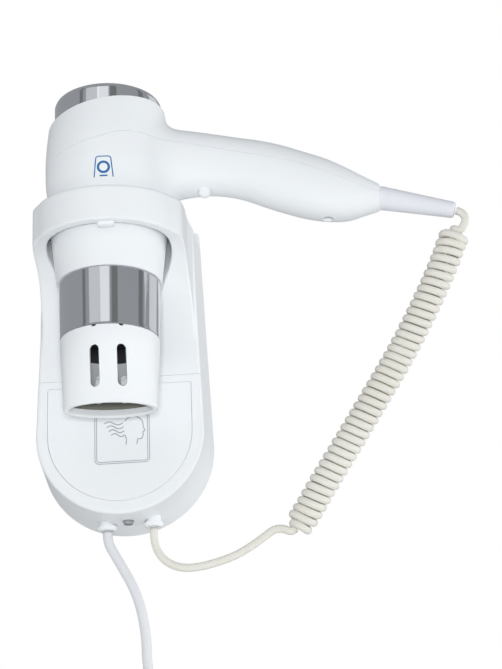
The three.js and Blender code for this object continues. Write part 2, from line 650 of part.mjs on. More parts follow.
function springShape() {
  const points = [];
  const perTurn = 8;
  const turns = 4;
  const low = BUTTON.flange + 1.2 + GAP + 0.5;
  const high = SWITCH_BOTTOM - GAP - 0.5;
  for (let i = 0; i <= turns * perTurn; i += 1) {
    const angle = (2 * Math.PI * i) / perTurn;
    const height = low + ((high - low) * i) / (turns * perTurn);
    points.push([BUTTON.x + 3 * Math.cos(angle), BUTTON.y + 3 * Math.sin(angle), height]);
  }
  return tube(points, 0.4, turns * perTurn, 4);
}
add("button_spring", springShape(), MATERIAL.steel);
add(
  "handset_cord_clamp",
  cut(box([153, BARREL_Y, 66], [7, 13, 10]), bar([140, BARREL_Y, 72], [165, BARREL_Y, 65], 2.6)),
  MATERIAL.dark,
);

// ---------------------------------------------------------------- cords
// The strain-relief sleeve at the end of the handle, along the sloping axis.
function sleeveShape() {
  const { length, slope, big, small } = SLEEVE;
  const profile = [
    [0, 0], [big - 0.6, 0], [big, 1], [small + 0.7, length - 2.5], [small - 0.6, length], [0, length],
  ];
  const geometry = new THREE.LatheGeometry(profile.map(([r, h]) => new THREE.Vector2(r, h)), 20);
  geometry.rotateZ(-Math.PI / 2).rotateY(THREE.MathUtils.degToRad(slope));
  return solid(geometry.translate(HANDLE_END.x + GAP + 1.6, BARREL_Y, HANDLE_END.z - 1.4));
}
add("cord_sleeve", sleeveShape(), MATERIAL.sleeve);

const CURLY_TOP = [
  [215.4, -81, 53.3], [218.2, -81, 51.9], [220.2, -81, 49.2], [220.1, -80.8, 45.4], [217.4, -80.2, 41],
];
const CURLY_AXIS = [
  [213.2, -79.2, 37.2], [206, -75.6, 22], [197.5, -70.6, 6], [187.5, -64.4, -11], [175.3, -57, -30],
  [158.6, -50, -54], [141.8, -42.6, -77.6], [124.2, -35.3, -102], [107.8, -28.4, -125],
];
const CURLY_TAIL = [
  [102.6, -27.8, -129.4], [97.6, -27.5, -127.6], [92.6, -27.1, -127.6], [86.4, -26.6, -131.2],
  [79.1, -26, -136], [68.4, -25.3, -141.6], [57, -24.6, -145.2], [46, -24, -147.3],
  [37, -23.3, -147.4], [30, -22.6, -145.4],
  [23.8, -21.8, -141], [19.8, -20.8, -135], [18, -20, -129], [17.7, -20, CURLY_GLAND.flange - 3 - GAP],
];
add("curly_cord_top", tube(CURLY_TOP, CURLY.cord, 6), MATERIAL.curly);
add("curly_cord_coil", tube(CURLY_AXIS, CURLY.coil, 18, 10), MATERIAL.curly);
add("curly_cord_tail", tube(CURLY_TAIL, CURLY.cord, 14), MATERIAL.curly);

// The mains lead hangs from its gland and ends in a tied coil with the plug under it.
const LEAD_X = 12;
const COIL_TOP = -222;
const coilCentreZ = COIL_TOP - MAINS.coilRadius - MAINS.coilSection;
const COIL_Y = -16;
const MAINS_ROUTE = [
  [-11, -20, MAINS_GLAND.flange - 3 - GAP], [-10.8, -20, -126], [-9.6, -20, -130.4], [-7.2, -20, -135],
  [-4.2, -20, -140.4], [-0.4, -20, -147.4], [3.8, -20, -155.6], [7.4, -19.6, -165], [10.2, -19, -177],
  [11.7, -18, -190], [LEAD_X, -17, -205], [LEAD_X, COIL_Y, COIL_TOP + GAP],
];
add("mains_lead", tube(MAINS_ROUTE, MAINS.cord, 16), MATERIAL.lead);
function coilRing() {
  const { coilRadius, coilSection } = MAINS;
  const section = Array.from({ length: 7 }, (_, i) => {
    const angle = (Math.PI * i) / 3;
    return new THREE.Vector2(coilRadius + coilSection * Math.cos(angle), coilSection * Math.sin(angle));
  });
  return solid(new THREE.LatheGeometry(section, 24).translate(LEAD_X, COIL_Y, coilCentreZ));
}
add("mains_lead_coil", coilRing(), MATERIAL.lead);
const tieX = LEAD_X + MAINS.coilRadius;
const tieInner = 2 * MAINS.coilSection + 2 * GAP;
add(
  "mains_lead_tie",
  cut(
    box([tieX, COIL_Y, coilCentreZ], [tieInner + 2, tieInner + 2, 5]),
    box([tieX, COIL_Y, coilCentreZ], [tieInner, tieInner, 9]),
  ),
  MATERIAL.dark,
);
const coilBottom = coilCentreZ - MAINS.coilRadius - MAINS.coilSection;
const PLUG_TOP = coilBottom - 16;
add(
  "mains_lead_end",
  tube(
    [[LEAD_X, COIL_Y, coilBottom - GAP], [LEAD_X, COIL_Y, coilBottom - 8], [LEAD_X, COIL_Y, PLUG_TOP + GAP]],
    MAINS.cord, 3,
  ),
  MATERIAL.lead,
);
const PLUG_LENGTH = 34;
const plugRings = [[0, 4.6, 4.6], [-8, 6.4, 6], [-16, 12, 7.4], [-PLUG_LENGTH, 13.2, 7.6]];
add(
  "plug_body",
  loft(
    (i) => {
      const [drop, wide, deep] = plugRings[i];
      return { at: PLUG_TOP + drop, centre: [LEAD_X, COIL_Y], half: [wide, deep] };
    },
    plugRings.length,
    (z, x, y) => [x, y, z],
    2.6, 16,
  ),
  MATERIAL.lead,
);
[-9.5, 9.5].forEach((offset, i) => {
  const low = PLUG_TOP - PLUG_LENGTH - 19;
  const high = PLUG_TOP - PLUG_LENGTH - GAP;
  const profile = [[0, low], [1.4, low], [2, low + 1.6], [2, high], [0, high]];
  const pin = turned(profile, LEAD_X + offset, COIL_Y, 16);
  add(["plug_pin_left", "plug_pin_right"][i], pin, MATERIAL.brass);
});

export default dryer;
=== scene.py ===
"""The looks of a wall-mounted hair dryer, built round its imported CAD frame.

Sizes in this script are in millimetres and become metres when a mesh is made. The wall is the plane
y = 0, the dryer stands out towards -Y, and +Z is up, as in the CAD.
"""

import math

import bmesh
import bpy
import numpy as np
from mathutils import Matrix, Vector
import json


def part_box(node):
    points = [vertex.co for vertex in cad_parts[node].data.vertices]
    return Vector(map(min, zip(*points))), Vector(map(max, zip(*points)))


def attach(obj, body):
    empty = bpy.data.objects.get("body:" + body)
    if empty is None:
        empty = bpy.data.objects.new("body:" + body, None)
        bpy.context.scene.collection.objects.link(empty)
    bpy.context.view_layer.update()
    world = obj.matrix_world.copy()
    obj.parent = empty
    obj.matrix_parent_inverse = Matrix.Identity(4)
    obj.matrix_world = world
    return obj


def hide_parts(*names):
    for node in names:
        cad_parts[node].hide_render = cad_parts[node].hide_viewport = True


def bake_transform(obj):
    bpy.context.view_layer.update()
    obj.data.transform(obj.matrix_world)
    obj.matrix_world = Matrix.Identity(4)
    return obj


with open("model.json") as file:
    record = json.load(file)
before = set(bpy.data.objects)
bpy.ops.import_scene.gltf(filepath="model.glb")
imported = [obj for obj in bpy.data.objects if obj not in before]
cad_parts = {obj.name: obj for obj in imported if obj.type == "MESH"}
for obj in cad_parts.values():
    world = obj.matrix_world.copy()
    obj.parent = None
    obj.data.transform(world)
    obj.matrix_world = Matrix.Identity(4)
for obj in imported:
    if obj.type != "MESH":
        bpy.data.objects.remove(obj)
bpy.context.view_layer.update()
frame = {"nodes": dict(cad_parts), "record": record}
MM = 0.001


def middle(node):
    """The centre of a CAD node's box, in millimetres."""
    low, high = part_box(node)
    return (np.array(low) + np.array(high)) / 2 / MM


def lowest(node):
    """The low corner of a CAD node's box, in millimetres."""
    return np.array(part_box(node)[0]) / MM


def highest(node):
    """The high corner of a CAD node's box, in millimetres."""
    return np.array(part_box(node)[1]) / MM


# ------------------------------------------------------------------ driving dimensions
BARREL_Y = middle("outlet_tube")[1]
BASE_DEPTH = -lowest("lower_cover")[1]
BASE = {
    "top": highest("back_plate")[2],
    "arc": -64.0,
    "half_top": 49.4,
    "half_low": 55.0,
    "taper": 0.05,
    "corner": 1.6,
    "edge": 1.7,
    "seam": highest("lower_cover")[2] + 0.15,
    "shell": 1.7,
}
RING = {
    "outer": 45.5,
    "bore": 38.5,
    "top": 64.0,
    "top_slope": 0.105,
    "low": 41.0,
    "low_slope": 0.05,
    "flank": 44.8,
    "flank_front": -97.0,
    "flank_root": 48.5,
    "corner": 8.0,
    "valley": 6.0,
    "underside": 55.0,
    "edge": 1.2,
    "fillet": 3.0,
}
RING_FRONT = BARREL_Y - RING["outer"]
PANEL = {"half": 45.0, "top": -33.6, "inset": 8.0, "corner": 1.5, "gap": 0.1, "sunk": 0.1}
RIM_HEIGHT = 128.5
RIM_TILT = math.radians(9.6)
COLLAR_END = 17.0
HANDLE_END = (169.7, 66.2)
FILLET = 9.0
SHELL = 2.1
SEAM_GAP = 0.26

BARREL_PROFILE = [
    (10, 31.2), (17, 32.2), (27, 33.4), (40, 34.9), (53, 36.7), (62, 37.8), (68, 38.1), (74, 38.2),
    (84, 39.3), (95, 39.6), (108, 39.2), (118, 38.3), (128, 37.2), (136, 36.0), (150, 34.2),
]
HANDLE_SECTIONS = [
    (18, 121.5, 72, 20), (36, 121.5, 74, 19.2), (52, 118.7, 76.2, 17.6),
    (66, 115.7, 76.3, 16.8), (85, 111.3, 71.8, 16.5), (97, 108.6, 66.3, 16.8),
    (110, 104.5, 60.8, 17), (124, 98.7, 55.8, 16.8), (137, 93.2, 53, 15.8),
    (150, 85.8, 52.6, 13.6), (159, 80.2, 54.8, 10.8), (169.7, 73.8, 57.8, 7.8),
    (176, 70.3, 60.2, 6.2),
]
SEAM = [
    (-60, 87.4), (-40, 92.9), (0, 100.6), (15, 104.8), (30, 105.5), (45, 105), (60, 101.8),
    (76, 97.5), (92, 93.6), (112, 88.5), (145, 75), (158, 69.5), (175.7, 64.5),
]

# The cords' routes, point for point as in the CAD.
CURLY_TOP = [
    (215.4, -81, 53.3), (218.2, -81, 51.9), (220.2, -81, 49.2), (220.1, -80.8, 45.4),
    (217.4, -80.2, 41),
]
CURLY_AXIS = [
    (213.2, -79.2, 37.2), (206, -75.6, 22), (197.5, -70.6, 6), (187.5, -64.4, -11),
    (175.3, -57, -30), (158.6, -50, -54), (141.8, -42.6, -77.6), (124.2, -35.3, -102),
    (107.8, -28.4, -125),
]
CURLY_TAIL = [
    (102.6, -27.8, -129.4), (97.6, -27.5, -127.6), (92.6, -27.1, -127.6), (86.4, -26.6, -131.2),
    (79.1, -26, -136), (68.4, -25.3, -141.6), (57, -24.6, -145.2), (46, -24, -147.3),
    (37, -23.3, -147.4), (30, -22.6, -145.4), (23.8, -21.8, -141), (19.8, -20.8, -135),
    (18, -20, -129), (17.7, -20, -120.5),
]
MAINS_ROUTE = [
    (-11, -20, -121.5), (-10.8, -20, -126), (-9.6, -20, -130.4), (-7.2, -20, -135),
    (-4.2, -20, -140.4), (-0.4, -20, -147.4), (3.8, -20, -155.6), (7.4, -19.6, -165),
    (10.2, -19, -177), (11.7, -18, -190),
]


# ------------------------------------------------------------------ camera
def make_camera():
    """The viewpoint: a little from the right and well from below, with a slight roll."""
    place = Vector((135.3, -1044.3, -417.7)) * MM
    azimuth, elevation, roll = math.radians(2.95), math.radians(-22.37), math.radians(-2.38)
    forward = Vector((
        -math.sin(azimuth) * math.cos(elevation),
        math.cos(azimuth) * math.cos(elevation),
        -math.sin(elevation),
    ))
    side = forward.cross(Vector((0, 0, 1))).normalized()
    up = side.cross(forward)
    right = side * math.cos(roll) + up * math.sin(roll)
    top = up * math.cos(roll) - side * math.sin(roll)
    data = bpy.data.cameras.new("camera")
    data.sensor_width = 36
    data.lens = 92.986
    data.clip_start = 0.05
    data.clip_end = 50
    camera = bpy.data.objects.new("camera", data)
    turn = Matrix((right, top, -forward)).transposed().to_4x4()
    camera.matrix_world = Matrix.Translation(place) @ turn
    bpy.context.scene.collection.objects.link(camera)
    bpy.context.scene.camera = camera


# ------------------------------------------------------------------ materials
def new_material(name):
    material = bpy.data.materials.new(name)
    material.use_nodes = True
    tree = material.node_tree
    return material, tree, tree.nodes["Principled BSDF"]


def noise(tree, scale, detail=3.0, roughness=0.5, stretch=None):
    """A noise texture in the piece's own coordinates."""
    place = tree.nodes.new("ShaderNodeTexCoord")
    texture = tree.nodes.new("ShaderNodeTexNoise")
    texture.inputs["Scale"].default_value = scale
    texture.inputs["Detail"].default_value = detail
    texture.inputs["Roughness"].default_value = roughness
    if stretch:
        mapping = tree.nodes.new("ShaderNodeMapping")
        mapping.inputs["Scale"].default_value = stretch
        tree.links.new(place.outputs["Object"], mapping.inputs["Vector"])
        tree.links.new(mapping.outputs["Vector"], texture.inputs["Vector"])
    else:
        tree.links.new(place.outputs["Object"], texture.inputs["Vector"])
    return texture.outputs["Fac"]


def span(tree, value, low, high):
    """Spreads a noise's usual range over low to high."""
    node = tree.nodes.new("ShaderNodeMapRange")
    node.inputs["From Min"].default_value = 0.3
    node.inputs["From Max"].default_value = 0.7
    node.inputs["To Min"].default_value = low
    node.inputs["To Max"].default_value = high
    tree.links.new(value, node.inputs["Value"])
    return node.outputs["Result"]


def tint(tree, value, first, second):
    """Mixes two colours by a noise."""
    node = tree.nodes.new("ShaderNodeMix")
    node.data_type = "RGBA"
    node.inputs["A"].default_value = (*first, 1)
    node.inputs["B"].default_value = (*second, 1)
    tree.links.new(span(tree, value, 0, 1), node.inputs["Factor"])
    return node.outputs["Result"]


def bump(tree, shader, value, strength, distance):
    node = tree.nodes.new("ShaderNodeBump")
    node.inputs["Strength"].default_value = strength
    node.inputs["Distance"].default_value = distance
    tree.links.new(value, node.inputs["Height"])
    tree.links.new(node.outputs["Normal"], shader.inputs["Normal"])


def moulded(name, light, dark, rough, grain=900.0, strength=0.04):
    """Moulded plastic: a faint tone variation, uneven gloss and a very fine orange-peel."""
    material, tree, shader = new_material(name)
    tree.links.new(tint(tree, noise(tree, 14.0), light, dark), shader.inputs["Base Color"])
    gloss = span(tree, noise(tree, 60.0), rough * 0.94, rough * 1.06)
    tree.links.new(gloss, shader.inputs["Roughness"])
    bump(tree, shader, noise(tree, grain, 2.0), strength, 0.0002)
    return material


def metal(name, light, dark, rough, stretch=None, strength=0.02):
    """Metal with an uneven polish, drawn out along one direction where stretch says so."""
    material, tree, shader = new_material(name)
    grain = noise(tree, 260.0, 3.0, 0.6, stretch)
    tree.links.new(tint(tree, noise(tree, 25.0), light, dark), shader.inputs["Base Color"])
    tree.links.new(span(tree, grain, rough * 0.8, rough * 1.3), shader.inputs["Roughness"])
    bump(tree, shader, grain, strength, 0.0001)
    shader.inputs["Metallic"].default_value = 1.0
    return material


def dim_card():
    """The studio flags: black, with a faint even glow."""
    material, _, shader = new_material("flag")
    shader.inputs["Base Color"].default_value = (0, 0, 0, 1)
    shader.inputs["Specular IOR Level"].default_value = 0.0
    shader.inputs["Emission Color"].default_value = (1, 1, 1, 1)
    shader.inputs["Emission Strength"].default_value = 0.21
    return material


PLASTICS = {  # name: light tone, dark tone, roughness, grain scale, bump strength
    # The liner's dark grey-olive tone is painted shade: it stands for the shadow inside the nozzle's
    # mouth, and is darker than mica.
    "liner": ((0.24, 0.245, 0.21), (0.20, 0.205, 0.175), 0.6, 220.0, 0.2),
    "white_plastic": ((0.86, 0.885, 0.90), (0.85, 0.877, 0.893), 0.36, 900.0, 0.02),
    "sleeve_plastic": ((0.80, 0.81, 0.86), (0.77, 0.78, 0.83), 0.42, 900.0, 0.08),
    "dark_plastic": ((0.055, 0.055, 0.06), (0.04, 0.04, 0.045), 0.5, 600.0, 0.15),
    "mica": ((0.52, 0.44, 0.32), (0.40, 0.33, 0.24), 0.6, 220.0, 0.3),
    "circuit_board": ((0.05, 0.2, 0.09), (0.04, 0.15, 0.07), 0.45, 300.0, 0.1),
    "curly_cord": ((0.80, 0.785, 0.72), (0.76, 0.742, 0.67), 0.38, 500.0, 0.12),
    "mains_lead": ((0.76, 0.77, 0.79), (0.72, 0.73, 0.755), 0.4, 500.0, 0.12),
    "print_grey": ((0.36, 0.38, 0.41), (0.32, 0.34, 0.37), 0.5, 800.0, 0.03),
    "print_blue": ((0.012, 0.16, 0.42), (0.01, 0.14, 0.38), 0.35, 800.0, 0.03),
}
METALS = {  # name: light tone, dark tone, roughness, stretch of the grain, bump strength
    "chrome": ((0.70, 0.715, 0.74), (0.67, 0.685, 0.71), 0.07, None, 0.008),
    "steel": ((0.62, 0.63, 0.65), (0.5, 0.51, 0.53), 0.3, (1, 1, 6), 0.08),
    "brass": ((0.78, 0.68, 0.46), (0.7, 0.58, 0.36), 0.25, None, 0.05),
    "heater_wire": ((0.42, 0.38, 0.35), (0.30, 0.27, 0.25), 0.45, None, 0.1),
}


def make_materials():
    materials = {name: moulded(name, *values) for name, values in PLASTICS.items()}
    materials.update({name: metal(name, *values) for name, values in METALS.items()})
    materials["flag"] = dim_card()
    return materials


# ------------------------------------------------------------------ mesh helpers
def object_of(name, mesh, material):
    piece = bpy.data.objects.new(name, mesh)
    bpy.context.scene.collection.objects.link(piece)
    mesh.materials.clear()
    mesh.materials.append(MATERIALS[material])
    return piece


def piece_of(name, points, faces, material, smooth=True):
    """An object from points in millimetres."""
    mesh = bpy.data.meshes.new(name)
    corners = [[int(i) for i in face] for face in faces]
    mesh.from_pydata((np.asarray(points, float) * MM).tolist(), [], corners)
    mesh.update()
    if smooth:
        mesh.shade_smooth()
    else:
        mesh.shade_flat()
    return object_of(name, mesh, material)


def finish_mesh(piece, sharp=40.0):
    """Applies the piece's modifiers, and keeps edges steeper than `sharp` degrees crisp."""
    depsgraph = bpy.context.evaluated_depsgraph_get()
    mesh = bpy.data.meshes.new_from_object(piece.evaluated_get(depsgraph))
    piece.modifiers.clear()
    old = piece.data
    piece.data = mesh
    bpy.data.meshes.remove(old)
    mesh.shade_smooth()
    mesh.set_sharp_from_angle(angle=math.radians(sharp))
    mesh.name = piece.name
    return piece


def shell(piece, thickness, edge=0.3, segments=2, group=""):
    """Gives an open skin its wall inwards, with softened rims. A vertex group may thin it."""
    solid = piece.modifiers.new("wall", "SOLIDIFY")
    solid.vertex_group = group
    solid.thickness = thickness * MM
    solid.offset = -1
    solid.use_even_offset = True
    return soften(piece, edge, segments, 50.0)


def stand_for(piece, body, slot, *nodes):
    """The piece rides on a body and replaces CAD nodes. Its slot argument is not used."""
    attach(piece, body)
    if nodes:
        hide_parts(*nodes)
    return piece


def curve_through(points):
    """A smooth function through (x, y) points, with the slopes of a centred difference."""
    xs, ys = (np.array(column, float) for column in zip(*points))
    slopes = np.gradient(ys, xs)

    def value(x):
        x = np.clip(x, xs[0], xs[-1])
        i = np.clip(np.searchsorted(xs, x, side="right") - 1, 0, len(xs) - 2)
        width = xs[i + 1] - xs[i]
        t = (x - xs[i]) / width
        return (
            ys[i] * (1 + 2 * t) * (1 - t) ** 2
            + slopes[i] * width * t * (1 - t) ** 2
            + ys[i + 1] * t**2 * (3 - 2 * t)
            + slopes[i + 1] * width * t**2 * (t - 1)
        )

    return value


def smooth_min(a, b, radius):
    blend = np.clip(0.5 + 0.5 * (b - a) / radius, 0, 1)
    return b + (a - b) * blend - radius * blend * (1 - blend)


def smooth_max(a, b, radius):
    return -smooth_min(-a, -b, radius)


def rounded(a, b, radius):
    """The inside of both a and b, with their common edge rounded."""
    outside = np.hypot(np.maximum(a + radius, 0), np.maximum(b + radius, 0))
    return outside + np.minimum(np.maximum(a + radius, b + radius), 0) - radius


def surface_of(field, low, high, step):
    """A quad mesh of the surface where field(x, y, z) is 0, with one vertex in each cell it crosses.

    The vertices are then moved onto the surface by Newton steps.
    """
    axes = [np.arange(a, b + step, step) for a, b in zip(low, high)]
    value = field(*np.meshgrid(*axes, indexing="ij"))
    shape = np.array(value.shape) - 1
    total = np.zeros((*shape, 3))
    count = np.zeros(shape)
    corner = [slice(None, -1), slice(1, None)]
    grid = np.stack(np.meshgrid(*[a[:-1] for a in axes], indexing="ij"), -1)
    for axis in range(3):
        others = [k for k in range(3) if k != axis]
        for i in range(2):
            for j in range(2):
                pick = [None, None, None]
                pick[others[0]], pick[others[1]] = corner[i], corner[j]
                near, far = list(pick), list(pick)
                near[axis], far[axis] = corner[0], corner[1]
                a, b = value[tuple(near)], value[tuple(far)]
                crosses = (a < 0) != (b < 0)
                share = np.where(crosses, a / np.where(a == b, 1, a - b), 0)
                point = grid.copy()
                point[..., others[0]] += i * step
                point[..., others[1]] += j * step
                point[..., axis] += share * step
                total += point * crosses[..., None]
                count += crosses
    used = count > 0
    number = np.full(shape, -1)
    number[used] = np.arange(used.sum())
    points = total[used] / count[used][:, None]
    faces = []
    for axis in range(3):
        u, v = (axis + 1) % 3, (axis + 2) % 3
        near, far = [slice(1, -1)] * 3, [slice(1, -1)] * 3
        near[axis], far[axis] = slice(None, -1), slice(1, None)
        a, b = value[tuple(near)] < 0, value[tuple(far)] < 0
        at = np.argwhere(a != b)
        inside_first = a[tuple(at.T)]
        at[:, u] += 1
        at[:, v] += 1
        quad = []
        for du, dv in ((-1, -1), (0, -1), (0, 0), (-1, 0)):
            cell = at.copy()
            cell[:, u] += du
            cell[:, v] += dv
            quad.append(number[tuple(cell.T)])
        quad = np.stack(quad, 1)
        quad[~inside_first] = quad[~inside_first][:, ::-1]
        faces.append(quad)
    faces = np.concatenate(faces)
    delta = step * 0.05
    for _ in range(5):
        here = field(*points.T)
        slope = np.stack(
            [(field(*(points + delta * unit).T) - field(*(points - delta * unit).T)) / (2 * delta)
             for unit in np.eye(3)], 1)
        length = np.maximum((slope**2).sum(1), 0.1)
        move = slope * (here / length)[:, None]
        points -= np.clip(move, -0.6 * step, 0.6 * step)
    return points, faces


def cut_along(points, faces, value, keep_above):
    """Cuts a skin where value(points) is 0 and keeps the side where it is above (or below) 0."""
    mesh = bmesh.new()
    vertices = [mesh.verts.new(p) for p in points]
    for face in faces:
        mesh.faces.new([vertices[i] for i in face])
    mesh.verts.index_update()
    level = dict(zip(vertices, value(np.asarray(points, float))))
    on_line = []
    for edge in list(mesh.edges):
        a, b = edge.verts
        if (level[a] < 0) != (level[b] < 0):
            share = level[a] / (level[a] - level[b])
            _, new = bmesh.utils.edge_split(edge, a, min(max(share, 0.02), 0.98))
            level[new] = 0.0
            on_line.append(new)
    bmesh.ops.connect_verts(mesh, verts=on_line, check_degenerate=False)
    sign = 1 if keep_above else -1
    gone = [f for f in mesh.faces if sign * sum(level[v] for v in f.verts) < 0]
    bmesh.ops.delete(mesh, geom=gone, context="FACES")
    mesh.verts.index_update()
    new_points = np.array([v.co[:] for v in mesh.verts])
    new_faces = [[v.index for v in f.verts] for f in mesh.faces]
    mesh.free()
    return new_points, new_faces


def lathe(name, profile, material, axis=(0.0, None), segments=128):
    """A turned piece about a vertical axis. Its (radius, height) profile closes on itself."""
    x0, y0 = axis[0], BARREL_Y if axis[1] is None else axis[1]
    angles = np.linspace(0, 2 * math.pi, segments, endpoint=False)
    rows = [[(x0 + r * math.sin(t), y0 - r * math.cos(t), z) for t in angles] for r, z in profile]
    points = [p for row in rows for p in row]
    faces = []
    for i in range(len(profile)):
        j = (i + 1) % len(profile)
        if profile[i][0] == 0 and profile[j][0] == 0:
            continue
        for k in range(segments):
            m = (k + 1) % segments
            faces.append((i * segments + k, i * segments + m, j * segments + m, j * segments + k))
    piece = piece_of(name, points, faces, material)
    mesh = bmesh.new()
    mesh.from_mesh(piece.data)
    bmesh.ops.remove_doubles(mesh, verts=mesh.verts, dist=1e-7)
    bmesh.ops.recalc_face_normals(mesh, faces=mesh.faces)
    mesh.to_mesh(piece.data)
    mesh.free()
    return piece


def between(a, b, share):
    return (a[0] + (b[0] - a[0]) * share, a[1] + (b[1] - a[1]) * share)


def refined(profile, step=2.0):
    """The profile with points added on its long straights, which keeps the shading flat there."""
    fine = []
    for a, b in zip(profile, profile[1:] + profile[:1]):
        count = max(int(math.dist(a, b) / step), 1)
        fine += [between(a, b, i / count) for i in range(count)]
    return fine


def soften(piece, width, segments=3, angle=35.0, sharp=40.0):
    """Rounds the edges steeper than `angle` degrees."""
    soft = piece.modifiers.new("edges", "BEVEL")
    soft.width = width * MM
    soft.segments = segments
    soft.limit_method = "ANGLE"
    soft.angle_limit = math.radians(angle)
    return finish_mesh(piece, sharp)


def block_of(name, centre, size, edge):
    """A white plastic block with rounded edges."""
    mesh = bpy.data.meshes.new(name)
    box = bmesh.new()
    bmesh.ops.create_cube(box, size=1.0)
    for vertex in box.verts:
        vertex.co = [(c + v * s) * MM for c, v, s in zip(centre, vertex.co, size)]
    box.to_mesh(mesh)
    box.free()
    return soften(object_of(name, mesh, "white_plastic"), edge)


def spline_of(points, spacing):
    """Evenly spaced points on a smooth curve through the given ones."""
    points = np.asarray(points, float)
    ends = [2 * points[0] - points[1], *points, 2 * points[-1] - points[-2]]
    fine = []
    for p0, p1, p2, p3 in zip(ends, ends[1:], ends[2:], ends[3:]):
        steps = [max(np.linalg.norm(b - a), 1e-6) ** 0.5 for a, b in ((p0, p1), (p1, p2), (p2, p3))]
        knots = np.cumsum([0.0, *steps])
        for t in np.linspace(knots[1], knots[2], 24, endpoint=False):
            def mix(a, b, ta, tb):
                return a * (tb - t) / (tb - ta) + b * (t - ta) / (tb - ta)
            a1 = mix(p0, p1, knots[0], knots[1])
            a2 = mix(p1, p2, knots[1], knots[2])
            a3 = mix(p2, p3, knots[2], knots[3])
            b1 = mix(a1, a2, knots[0], knots[2])
            b2 = mix(a2, a3, knots[1], knots[3])
            fine.append(mix(b1, b2, knots[1], knots[2]))
    fine.append(points[-1])
    fine = np.array(fine)
    along = np.concatenate([[0], np.cumsum(np.linalg.norm(np.diff(fine, axis=0), axis=1))])
    count = max(int(round(along[-1] / spacing)), 2)
    wanted = np.linspace(0, along[-1], count + 1)
    return np.stack([np.interp(wanted, along, fine[:, k]) for k in range(3)], 1)


def frames_along(path):
    """A side and an up direction at each point of the path that don't twist."""
    tangents = np.gradient(path, axis=0)
    tangents /= np.linalg.norm(tangents, axis=1)[:, None]
    side = np.cross(tangents[0], (0.0, 1.0, 0.3))
    side /= np.linalg.norm(side)
    sides = []
    for tangent in tangents:
        side = side - tangent * side.dot(tangent)
        side /= np.linalg.norm(side)
        sides.append(side.copy())
    sides = np.array(sides)
    return sides, np.cross(tangents, sides)


def ring_faces(rings, sides):
    """The quads that join each ring of points to the next one."""
    return [
        (i + k, i + sides + k, i + sides + (k + 1) % sides, i + (k + 1) % sides)
        for i in range(0, (rings - 1) * sides, sides) for k in range(sides)
    ]


def tube_of(name, path, radius, material, sides=12):
    """A round tube along the path, with closed ends and one radius or a radius for each point."""
    path = np.asarray(path, float)
    radii = np.broadcast_to(radius, len(path))
    side, up = frames_along(path)
    angles = np.linspace(0, 2 * math.pi, sides, endpoint=False)
    points = [p + r * (math.cos(t) * s + math.sin(t) * u)
              for p, r, s, u in zip(path, radii, side, up) for t in angles]
    faces = [(a, d, c, b) for a, b, c, d in ring_faces(len(path), sides)]
    last = (len(path) - 1) * sides
    faces.append(list(range(sides))[::-1])
    faces.append([last + k for k in range(sides)])
    return piece_of(name, points, faces, material)


def length_of(path):
    return float(np.linalg.norm(np.diff(np.asarray(path), axis=0), axis=1).sum())


# ------------------------------------------------------------------ cords
CURLY_RADIUS = 2.45
HELIX_RADIUS = 7.0
HELIX_PITCH = 5.15
RAMP = 5.0  # length over which the coil opens from the straight cord
FINE = 0.4  # spacing of the points on the coil's axis


def make_curly_cord():
    """One cord: straight out of the sleeve, wound close, then straight to the gland."""
    axis = spline_of(CURLY_TOP + CURLY_AXIS + CURLY_TAIL, FINE)
    along = np.linspace(0, length_of(axis), len(axis))
    first = length_of(spline_of(CURLY_TOP + CURLY_AXIS[:1], FINE)) - RAMP
    last = along[-1] - length_of(spline_of(CURLY_AXIS[-1:] + CURLY_TAIL, FINE)) + RAMP
    opened = np.clip((along - first) / RAMP, 0, 1) * np.clip((last - along) / RAMP, 0, 1)
    width = HELIX_RADIUS * (0.5 - 0.5 * np.cos(math.pi * opened))
    turn = 2 * math.pi * (np.clip(along, first, last) - first) / HELIX_PITCH
    side, up = frames_along(axis)
    path = axis + width[:, None] * (np.cos(turn)[:, None] * side + np.sin(turn)[:, None] * up)
    path = spline_of(path[::2], 1.9)
    cord = tube_of("curly_cord", path, CURLY_RADIUS, "curly_cord", 10)
    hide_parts("curly_cord_top", "curly_cord_coil", "curly_cord_tail")
    [float(c) * MM for c in path[0]]
    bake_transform(cord)


# ------------------------------------------------------------------ handset housing
barrel_radius = curve_through(BARREL_PROFILE)
handle_top = curve_through([(x, top) for x, top, _, _ in HANDLE_SECTIONS])
handle_bottom = curve_through([(x, bottom) for x, _, bottom, _ in HANDLE_SECTIONS])
handle_half = curve_through([(x, half) for x, _, _, half in HANDLE_SECTIONS])
seam_height = curve_through(SEAM)


def handle_field(x, y, z):
    """About the distance to the handle, whose sections are superellipses across x."""
    power = 2.25
    tall = (handle_top(x) - handle_bottom(x)) / 2
    deep = handle_half(x)
    v = np.abs(z - (handle_top(x) + handle_bottom(x)) / 2)
    u = np.abs(y - BARREL_Y)
    level = ((u / deep) ** power + (v / tall) ** power) ** (1 / power)
    level = np.maximum(level, 1e-3)
    steepness = np.hypot(u ** (power - 1) / deep**power, v ** (power - 1) / tall**power)
    return (level - 1) / np.maximum(level ** (1 - power) * steepness, 0.02)


def handset_field(x, y, z):
    """Barrel and handle, blended where they meet."""
    barrel = np.hypot(x, y - BARREL_Y) - barrel_radius(z)
    handle = np.maximum(handle_field(x, y, z), 12 - x)
    handle = smooth_max(handle, x - HANDLE_END[0], 2.0)
    return smooth_min(barrel, handle, FILLET)


def above_rim(points):
    """Above 0 past the barrel's sloping top rim."""
    return (points[:, 2] - RIM_HEIGHT) * math.cos(RIM_TILT) - points[:, 0] * math.sin(RIM_TILT)


def above_seam(points):
    return points[:, 2] - seam_height(points[:, 0])


def outside_hole(at, radius):
    """Above 0 outside a vertical hole in the underside of the handle."""
    def value(p):
        away = np.hypot(p[:, 0] - at[0], p[:, 1] - at[1]) - radius
        return np.where(above_seam(p) < -8, away, np.maximum(away, 1.0))
    return value


